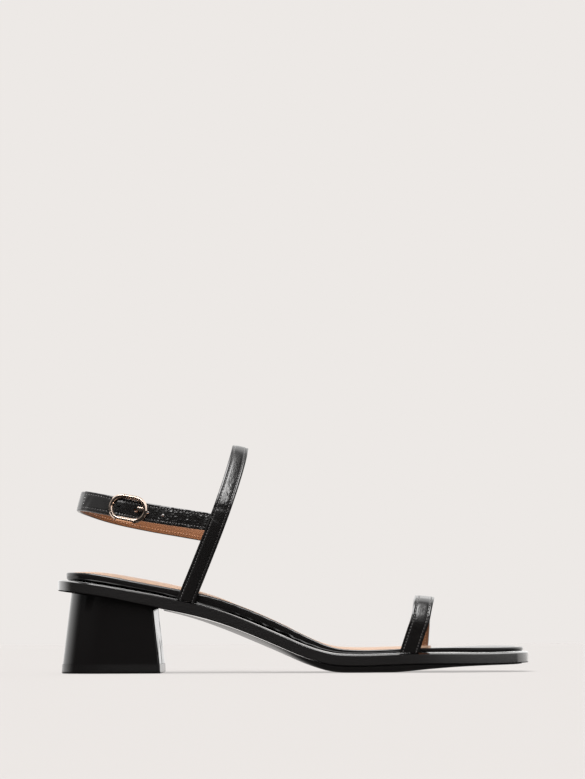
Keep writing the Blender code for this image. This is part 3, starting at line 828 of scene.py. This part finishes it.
def flat_leather(strap):
    """Flat strap with a domed outer face, two stitch grooves and rounded edges."""
    piece = flat_grid(strap.name, strap, strap.width, STRAP_ROWS, 0.0, 1)
    near = strap.width / STRAP_ROWS / 2
    groove_at = strap.width / 2 - STITCH_INSET * MM
    with editing(piece):
        choose(piece, lambda co: abs(co.z) < near)
        bpy.ops.transform.translate(
            value=(0.0, strap.dome * MM, 0.0), **softly("SPHERE", strap.width / 2))
        choose(piece, lambda co: abs(abs(co.z) - groove_at) < near)
        bpy.ops.transform.translate(value=(0.0, -strap.groove * MM, 0.0))
    modify(piece, "SOLIDIFY", thickness=strap.thickness, offset=-1.0)
    round_edges(piece, STRAP_EDGE * MM, segments=3)
    modify(piece, "SUBSURF", levels=1, render_levels=1)
    return piece


def outer_face(strap):
    """Height above which a point belongs to the outer face of a flat strap."""
    return strap.place_on_face(1, -2 * STRAP_EDGE * MM)


def press_creases(piece, strap, rows):
    """Presses soft troughs into the outer face of a flat strap."""
    outer = outer_face(strap)
    half_step = STRAP_STEP * MM / 2
    with editing(piece):
        for crease in rows_of(CREASE_COLUMNS, rows):
            along = crease["along"] * MM
            slant = crease["slant"]
            choose(piece, lambda co: co.y > outer and abs(co.x - along - slant * co.z) < half_step)
            bpy.ops.transform.translate(
                value=(0.0, -crease["depth"] * MM, 0.0), **softly("SMOOTH", crease["reach"] * MM))


def break_grain(piece, strap, rows):
    """Breaks the outer face of a flat strap into small raised cells, along the given stretches."""
    outer = outer_face(strap)
    for stretch in rows_of(CRINKLE_COLUMNS, rows):
        cells = bpy.data.textures.new("grain_cells", "VORONOI")
        cells.noise_scale = stretch["cell"] * MM
        cells.weight_1 = -1.0
        cells.weight_2 = 1.0
        group = piece.vertex_groups.new(name="broken_grain")
        for vert in piece.data.vertices:
            inside = min(vert.co.x / MM - stretch["start"], stretch["stop"] - vert.co.x / MM)
            share = min(max(inside / CRINKLE_FADE, 0.0), 1.0)
            if vert.co.y > outer:
                group.add([vert.index], share, "REPLACE")
        modify(
            piece,
            "DISPLACE",
            texture=cells,
            texture_coords="LOCAL",
            vertex_group=group.name,
            direction="Y",
            strength=stretch["depth"] * MM,
            mid_level=CRINKLE_LEVEL,
        )
        piece.vertex_groups.clear()


def flat_lining(strap):
    """Thin leather on the inner face of a flat strap, a little narrower than the strap."""
    width = strap.width - 2 * LINING_INSET * MM
    piece = flat_grid(strap.name + "_lining", strap, width, LINING_ROWS, LINING_PROUD * MM, -1)
    modify(piece, "SOLIDIFY", thickness=LINING_THICKNESS * MM, offset=-1.0)
    round_edges(piece, LINING_PROUD * MM, segments=2)
    return piece


def one_stitch(name, place_on_strap, pitch, turn):
    """A short bar of thread pressed flat, laid along the strap or turned across it."""
    bpy.ops.object.select_all(action="DESELECT")
    bpy.ops.mesh.primitive_cube_add(size=1.0, location=place_on_strap, rotation=(0.0, turn, 0.0))
    stitch = started(name, (STITCH_WIDTH * MM, STITCH_HEIGHT * MM, pitch * STITCH_SHARE))
    round_edges(stitch, STITCH_EDGE * MM, segments=1)
    return stitch


def flat_stitches(name, strap, pitch, inset, side):
    """Two rows of stitches along one face of a flat strap."""
    across = strap.width / 2 - inset * MM
    height = strap.place_on_face(side, -strap.sink * MM if side > 0 else LINING_PROUD * MM)
    piece = one_stitch(name, (strap.start + pitch / 2, height, across), pitch, math.pi / 2 + STITCH_TURN)
    repeat(piece, int((strap.stop - strap.start) / pitch), (pitch, 0.0, 0.0))
    repeat(piece, 2, (0.0, 0.0, -2 * across))
    return piece


def tail_stitches(name, strap, pitch):
    """Row of stitches across the tail end of a flat strap."""
    across = strap.width / 2 - STITCH_INSET * MM
    start = (strap.stop - STITCH_INSET * MM, strap.place_on_face(1, 0.0), -across + pitch)
    piece = one_stitch(name, start, pitch, STITCH_TURN)
    repeat(piece, int(2 * across / pitch) - 1, (0.0, 0.0, pitch))
    return piece


def narrow_front(piece, strap):
    """Narrows a flat piece evenly towards the start of its strap."""
    with editing(piece):
        choose(piece, lambda co: co.x < strap.start + STRAP_STEP * MM / 2)
        bpy.ops.transform.resize(
            value=(1.0, 1.0, strap.front_share),
            center_override=(strap.start, strap.lift, 0.0),
            **softly("LINEAR", strap.stop - strap.start),
        )


def bend(piece, route):
    """Bends a flat piece along the route and puts its place into its mesh."""
    piece.matrix_world = route.matrix_world
    modify(piece, "CURVE", object=route, deform_axis="POS_X")
    settle(piece)
    smooth_shading(piece, STRAP_SHADING)


def trim(piece, ledge):
    """Cuts a strap's legs off along the ledge that they stand on."""
    spot = place(ledge["x"], 0.0, ledge["z"])
    normal = Vector((-ledge["slope"], 0.0, 1.0)).normalized()
    with editing(piece):
        bpy.ops.mesh.select_all(action="SELECT")
        bpy.ops.mesh.bisect(plane_co=spot, plane_no=normal, use_fill=True, clear_inner=True)


def make_strap(strap, route, settings, creases=(), crinkles=(), ledge=None, holes=None, tail=False):
    """Leather, lining and stitches of one strap, bent along its route. Returns the leather."""
    colours = settings.sandal_colours
    pitch = settings.sandal_sizes.stitch_pitch
    leather = flat_leather(strap)
    press_creases(leather, strap, creases)
    break_grain(leather, strap, crinkles)
    lining = flat_lining(strap)
    if holes:
        for layer in (leather, lining):
            modify(layer, "BOOLEAN", object=holes, operation="DIFFERENCE", solver="EXACT")
    seam = flat_stitches(strap.name + "_stitches", strap, pitch, STITCH_INSET, 1)
    lining_seam = flat_stitches(strap.name + "_lining_stitches", strap, pitch, LINING_STITCH_INSET, -1)
    dress(leather, strap_leather(colours))
    dress(lining, tan_leather("tan lining leather", colours.lining, roughness=0.5))
    dress(seam, sewing_thread("black thread", colours.thread))
    dress(lining_seam, sewing_thread("tan thread", colours.lining_thread))
    pieces = [leather, lining, seam, lining_seam]
    if tail:
        end_seam = tail_stitches(strap.name + "_tail_stitches", strap, pitch)
        dress(end_seam, sewing_thread("black thread", colours.thread))
        pieces.append(end_seam)
    for piece in pieces:
        if strap.front_share != 1.0:
            narrow_front(piece, strap)
        bend(piece, route)
        if ledge:
            trim(piece, ledge)
    return leather


def hole_cutters(lift):
    """Round bars through every hole of the flat buckle strap, as one object."""
    bpy.ops.object.select_all(action="DESELECT")
    bars = []
    for hole in rows_of(HOLE_COLUMNS, HOLES):
        bpy.ops.mesh.primitive_cylinder_add(
            vertices=HOLE_SIDES,
            radius=hole["radius"] * MM,
            depth=CUTTER_DEPTH * MM,
            location=((BAR_AT - hole["ahead"]) * MM, lift, 0.0),
            rotation=(math.pi / 2, 0.0, 0.0),
        )
        bars.append(bpy.context.object)
    return joined(bars)


# Buckle


def buckle_axes():
    """Frame of the buckle: x forward along the strap, y up across it, z out from the foot."""
    rows = rows_of(SLING_COLUMNS, SLING_ROUTE)
    spots = [place(row["x"], row["y"], row["z"]) for row in rows]
    forward = (spots[BUCKLE_ROW - 1] - spots[BUCKLE_ROW + 1]).normalized()
    up = Vector((0.0, 0.0, 1.0))
    up = (up - forward * up.dot(forward)).normalized()
    out = forward.cross(up)
    lean = math.radians(rows[BUCKLE_ROW]["lean"])
    across = up * math.cos(lean) - out * math.sin(lean)
    out = out * math.cos(lean) + up * math.sin(lean)
    axes = Matrix((forward, across, out)).transposed().to_4x4()
    axes.translation = spots[BUCKLE_ROW]
    return axes


def oval_frame():
    """Oval band with chamfered sides: a ring of six sides whose two halves are drawn apart."""
    turn = FRAME_TURN * MM
    straight = (FRAME_LENGTH / 2 - FRAME_WIRE) * MM - turn
    bpy.ops.object.select_all(action="DESELECT")
    bpy.ops.mesh.primitive_torus_add(
        major_radius=turn,
        minor_radius=FRAME_WIRE * MM,
        major_segments=FRAME_SEGMENTS,
        minor_segments=FRAME_SIDES,
        location=(0.0, 0.0, FRAME_OUT * MM),
    )
    oval = started("oval_buckle", (1.0, 1.0, 1.0))
    corner = FRAME_WIRE / 2 * MM
    with editing(oval):
        for side, reach in ((1, FRAME_FRONT_OUTER), (-1, FRAME_FRONT_INNER)):
            choose(oval, lambda co: co.z > FRAME_OUT * MM + MERGE and (co.xy.length - turn) * side > MERGE)
            share = (turn + side * reach * MM) / (turn + side * corner)
            bpy.ops.transform.resize(value=(share, share, 1.0), center_override=(0.0, 0.0, FRAME_OUT * MM))
        for end in (1, -1):
            choose(oval, lambda co: co.x * end > MERGE)
            bpy.ops.transform.translate(value=(end * straight, 0.0, 0.0))
    round_edges(oval, FRAME_SOFT * MM, segments=2, sharper=FRAME_SHARP)
    return oval


def hanging_bar():
    """Centre bar, bent down at both ends to lie behind the buckle strap."""
    turn = FRAME_TURN * MM
    corners = ((turn, FRAME_OUT), (turn, 0.0), (-turn, 0.0), (-turn, FRAME_OUT))
    data = bpy.data.curves.new("bar", "CURVE")
    data.dimensions = "3D"
    data.bevel_depth = BAR_WIRE * MM
    data.bevel_resolution = BAR_ROUNDNESS
    data.use_fill_caps = True
    line = data.splines.new("POLY")
    line.points.add(len(corners) - 1)
    for knot, (across, out) in zip(line.points, corners):
        knot.co = (0.0, across, out * MM, 1.0)
    bar = bpy.data.objects.new("bar", data)
    bpy.context.scene.collection.objects.link(bar)
    pick(bar)
    bpy.ops.object.convert(target="MESH")
    with editing(bar):
        bpy.ops.mesh.select_all(action="SELECT")
        bpy.ops.mesh.remove_doubles(threshold=MERGE)
    return bar


def flat_prong():
    """Flat tab that comes up through its hole and lies forward on the strap, extruded step by step."""
    rows = rows_of(PRONG_COLUMNS, PRONG_ROUTE)
    bpy.ops.object.select_all(action="DESELECT")
    bpy.ops.mesh.primitive_plane_add(
        size=1.0,
        location=(rows[0]["along"] * MM, PRONG_RISE * MM, rows[0]["out"] * MM),
        rotation=(0.0, math.pi / 2, 0.0),
    )
    prong = started("bent_prong", (rows[0]["thick"] * MM, PRONG_WIDTH * MM, 1.0))
    with editing(prong):
        bpy.ops.mesh.select_all(action="SELECT")
        for last, row in zip(rows, rows[1:]):
            step = Vector((row["along"] - last["along"], 0.0, row["out"] - last["out"])) * MM
            bpy.ops.mesh.extrude_region_move(TRANSFORM_OT_translate={"value": step})
            bpy.ops.transform.resize(
                value=(1.0, 1.0, row["thick"] / last["thick"]),
                center_override=(row["along"] * MM, PRONG_RISE * MM, row["out"] * MM),
            )
        bpy.ops.mesh.select_all(action="SELECT")
        bpy.ops.mesh.normals_make_consistent(inside=False)
    round_edges(prong, PRONG_SOFT * MM, segments=2)
    return prong


# Stage


def make_floor(stage):
    """Wide sheet of matt paper that glows with painted light, softening its shadows and lighting the shoe
    from below.
    """
    bpy.ops.object.select_all(action="DESELECT")
    bpy.ops.mesh.primitive_plane_add(size=FLOOR_SIZE, location=(0.0, 0.0, 0.0))
    floor = bpy.context.object
    floor.name = "studio_floor"
    made = bpy.data.materials.new("matt white paper")
    made.use_nodes = True
    tree = made.node_tree
    tree.nodes.remove(tree.nodes["Principled BSDF"])
    paper = add(tree, "ShaderNodeBsdfDiffuse", {"Color": (*stage.floor, 1.0)})
    # Painted light: the paper glows of itself, which lightens the shadow under the shoe
    glow = add(tree, "ShaderNodeEmission", {"Color": (*stage.backdrop, 1.0), "Strength": stage.floor_glow})
    sheet = add(tree, "ShaderNodeAddShader", {0: paper.outputs["BSDF"], 1: glow.outputs["Emission"]})
    # Painted reflection: glossy rays see the paper as a glow, dark on the camera's side of the shoe and
    # bright behind it
    spot = add(tree, "ShaderNodeTexCoord").outputs["Object"]
    axes = add(tree, "ShaderNodeSeparateXYZ", {"Vector": spot})
    lit = add(tree, "ShaderNodeMapRange", {
        "Value": axes.outputs["Y"], "From Min": FLOOR_DARK_TO, "From Max": FLOOR_LIT_FROM,
        "To Min": stage.fill, "To Max": 1.0}, interpolation_type="SMOOTHSTEP")
    painted_reflection = add(tree, "ShaderNodeEmission", {
        "Color": (*stage.backdrop, 1.0), "Strength": lit.outputs["Result"]})
    glossy = add(tree, "ShaderNodeLightPath").outputs["Is Glossy Ray"]
    both = add(tree, "ShaderNodeMixShader", {
        0: glossy, 1: sheet.outputs["Shader"], 2: painted_reflection.outputs["Emission"]})
    tree.links.new(both.outputs["Shader"], tree.nodes["Material Output"].inputs["Surface"])
    floor.data.materials.append(made)


def light_panel(tree, way, strength, edges):
    """Strength of a panel's light in every direction."""
    level = strength
    for direction, dark, lit in edges:
        share = add(tree, "ShaderNodeVectorMath", {0: way, 1: direction}, operation="DOT_PRODUCT")
        mask = add(tree, "ShaderNodeMapRange", {
            "Value": share.outputs["Value"], "From Min": dark, "From Max": lit},
            interpolation_type="SMOOTHSTEP")
        level = add(tree, "ShaderNodeMath", {
            0: mask.outputs["Result"], 1: level}, operation="MULTIPLY").outputs["Value"]
    return level


def make_light(scene, stage):
    """Studio bright behind the shoe and dark on the camera's side, with a long softbox overhead."""
    world = bpy.data.worlds.new("studio")
    scene.world = world
    world.use_nodes = True
    tree = world.node_tree
    tree.nodes.clear()
    way = add(tree, "ShaderNodeTexCoord").outputs["Generated"]
    panels = (
        (stage.behind, BEHIND_EDGES),
        (stage.heel_end, HEEL_EDGES),
        (stage.toe_end, TOE_EDGES),
        (stage.key, KEY_EDGES),
    )
    level = stage.fill
    for strength, edges in panels:
        level = add(tree, "ShaderNodeMath", {
            0: light_panel(tree, way, strength, edges), 1: level}, operation="ADD").outputs["Value"]
    light = add(tree, "ShaderNodeBackground", {"Color": LIGHT_TINT, "Strength": level})
    backdrop = add(tree, "ShaderNodeBackground", {"Color": (*stage.backdrop, 1.0)})
    seen = add(tree, "ShaderNodeLightPath").outputs["Is Camera Ray"]
    both = add(tree, "ShaderNodeMixShader", {
        0: seen, 1: light.outputs["Background"], 2: backdrop.outputs["Background"]})
    add(tree, "ShaderNodeOutputWorld", {"Surface": both.outputs["Shader"]})
    scene.view_settings.view_transform = "Standard"


def make_camera(scene, stage):
    """Camera at the height of the sole, looking up a little."""
    data = bpy.data.cameras.new("camera")
    data.lens = stage.lens
    data.clip_start = CAMERA_NEAR
    data.clip_end = CAMERA_FAR
    camera = bpy.data.objects.new("camera", data)
    spot = Matrix.Translation((stage.aside, -stage.distance, stage.height))
    look = Matrix.Rotation(math.pi / 2 + stage.pitch, 4, "X")
    camera.matrix_world = spot @ look @ Matrix.Rotation(stage.roll, 4, "Z")
    scene.collection.objects.link(camera)
    scene.camera = camera


# Operators


class SANDAL_OT_sole(Operator):
    """Outsole and platform"""

    bl_idname = "sandal.sole"
    bl_label = "Sole"

    def execute(self, context):
        colours = context.scene.sandal_colours
        outsole = smooth_copy("outsole", "moulded_outsole", **OUTSOLE_COPY)
        dress(outsole, moulded_sole(colours))
        platform = smooth_copy("platform", "platform_band", **PLATFORM_COPY)
        dress(platform, burnished_edge(colours))
        return {"FINISHED"}


class SANDAL_OT_heel(Operator):
    """Covered heel block and its top lift"""

    bl_idname = "sandal.heel"
    bl_label = "Heel"

    def execute(self, context):
        colours = context.scene.sandal_colours
        block = smooth_copy("heel_block", "covered_heel", **HEEL_COPY)
        press_in(block, HEEL_SEAT, HEEL_PRESS)
        dress(block, polished_cover(colours))
        lift = smooth_copy("heel_top_lift", "top_lift", **LIFT_COPY)
        press_in(lift, LIFT_SEAT, LIFT_PRESS)
        dress(lift, hard_rubber(colours))
        return {"FINISHED"}


class SANDAL_OT_bed(Operator):
    """Padded footbed and the tan sock in it"""

    bl_idname = "sandal.bed"
    bl_label = "Footbed and sock"

    def execute(self, context):
        colours = context.scene.sandal_colours
        bed = smooth_copy("footbed", "padded_footbed", **BED_COPY)
        dress(bed, bed_leather(colours))
        sock = smooth_copy("sock_lining", "tan_sock", **SOCK_COPY)
        dress(sock, tan_leather("tan sock leather", colours.sock, roughness=0.38))
        return {"FINISHED"}


class SANDAL_OT_toe_strap(Operator):
    """Stitched and lined strap over the toes"""

    bl_idname = "sandal.toe_strap"
    bl_label = "Toe strap"

    def execute(self, context):
        sizes = context.scene.sandal_sizes
        route = arch_route("toe_route", TOE_ARCH, TOE_PITCH, end_share=1.0)
        strap = Strap(
            "stitched_toe_strap", 0.0, route_length(route), sizes.toe_width, sizes.thickness, TOE_DOME)
        leather = make_strap(strap, route, context.scene, TOE_CREASES, TOE_CRINKLES, ledge=TOE_LEDGE)
        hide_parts("toe_strap")
        remove(route)
        return {"FINISHED"}


class SANDAL_OT_instep_strap(Operator):
    """Stitched and lined strap over the instep"""

    bl_idname = "sandal.instep_strap"
    bl_label = "Instep strap"

    def execute(self, context):
        sizes = context.scene.sandal_sizes
        end_share = sizes.instep_end_width / sizes.instep_width
        route = arch_route("instep_route", INSTEP_ARCH, INSTEP_PITCH, end_share)
        strap = Strap(
            "stitched_instep_strap", 0.0, route_length(route), sizes.instep_width, sizes.thickness)
        leather = make_strap(
            strap, route, context.scene, INSTEP_CREASES, INSTEP_CRINKLES, ledge=INSTEP_LEDGE)
        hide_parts("straps")
        remove(route)
        return {"FINISHED"}


class SANDAL_OT_sling(Operator):
    """Heel strap, and the holed buckle strap that lies on it"""

    bl_idname = "sandal.sling"
    bl_label = "Sling"

    def execute(self, context):
        sizes = context.scene.sandal_sizes
        thickness = sizes.sling_thickness
        route = sling_route("sling_route")
        heel_start = (BAR_AT + BAR_CLEARANCE) * MM
        flatness = (SLING_DOME, SLING_GROOVE, SLING_SINK)
        heel = Strap("heel_strap", heel_start, route_length(route), sizes.heel_width, thickness, *flatness)
        make_strap(heel, route, context.scene)
        lift = LAYER_STEP * MM
        front_share = sizes.buckle_end_width / sizes.buckle_width
        tail = Strap(
            "buckle_strap", 0.0, TAIL_AT * MM, sizes.buckle_width, thickness, *flatness, lift, front_share)
        cutters = hole_cutters(lift)
        make_strap(tail, route, context.scene, BUCKLE_CREASES, BUCKLE_CRINKLES, holes=cutters, tail=True)
        remove(route, cutters)
        return {"FINISHED"}


class SANDAL_OT_buckle(Operator):
    """Oval buckle frame with its bar, and the prong"""

    bl_idname = "sandal.buckle"
    bl_label = "Buckle"

    def execute(self, context):
        metal = rose_gold(context.scene.sandal_colours)
        axes = buckle_axes()
        oval = joined([oval_frame(), hanging_bar()])
        oval.matrix_world = axes
        settle(oval)
        flat_faces(oval)
        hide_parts("buckle_frame")
        dress(oval, metal)
        prong = flat_prong()
        prong.matrix_world = axes
        settle(prong)
        flat_faces(prong)
        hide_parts("buckle_prong")
        dress(prong, metal)
        return {"FINISHED"}


class SANDAL_OT_stage(Operator):
    """Pale floor, soft light and the camera"""

    bl_idname = "sandal.stage"
    bl_label = "Stage"

    def execute(self, context):
        stage = context.scene.sandal_stage
        make_floor(stage)
        make_light(context.scene, stage)
        make_camera(context.scene, stage)
        return {"FINISHED"}


class SANDAL_PT_panel(Panel):
    """Steps that dress the sandal"""

    bl_idname = "SANDAL_PT_panel"
    bl_label = "Heeled Sandal"
    bl_space_type = "VIEW_3D"
    bl_region_type = "UI"
    bl_category = "Sandal"

    def draw(self, context):
        for operator in OPERATORS:
            self.layout.operator(operator.bl_idname)


GROUPS = (SandalColours, SandalSizes, SandalStage)
OPERATORS = (
    SANDAL_OT_sole,
    SANDAL_OT_heel,
    SANDAL_OT_bed,
    SANDAL_OT_toe_strap,
    SANDAL_OT_instep_strap,
    SANDAL_OT_sling,
    SANDAL_OT_buckle,
    SANDAL_OT_stage,
)
CLASSES = (*GROUPS, *OPERATORS, SANDAL_PT_panel)


def register():
    """Adds the add-on's classes and settings."""
    for cls in CLASSES:
        bpy.utils.register_class(cls)
    bpy.types.Scene.sandal_colours = PointerProperty(type=SandalColours)
    bpy.types.Scene.sandal_sizes = PointerProperty(type=SandalSizes)
    bpy.types.Scene.sandal_stage = PointerProperty(type=SandalStage)


def unregister():
    """Takes the add-on's classes and settings away."""
    del bpy.types.Scene.sandal_stage
    del bpy.types.Scene.sandal_sizes
    del bpy.types.Scene.sandal_colours
    for cls in reversed(CLASSES):
        bpy.utils.unregister_class(cls)


def main():
    """Dresses the sandal."""
    register()
    bpy.ops.sandal.sole()
    bpy.ops.sandal.heel()
    bpy.ops.sandal.bed()
    bpy.ops.sandal.toe_strap()
    bpy.ops.sandal.instep_strap()
    bpy.ops.sandal.sling()
    bpy.ops.sandal.buckle()
    bpy.ops.sandal.stage()


if __name__ == "__main__":
    main()
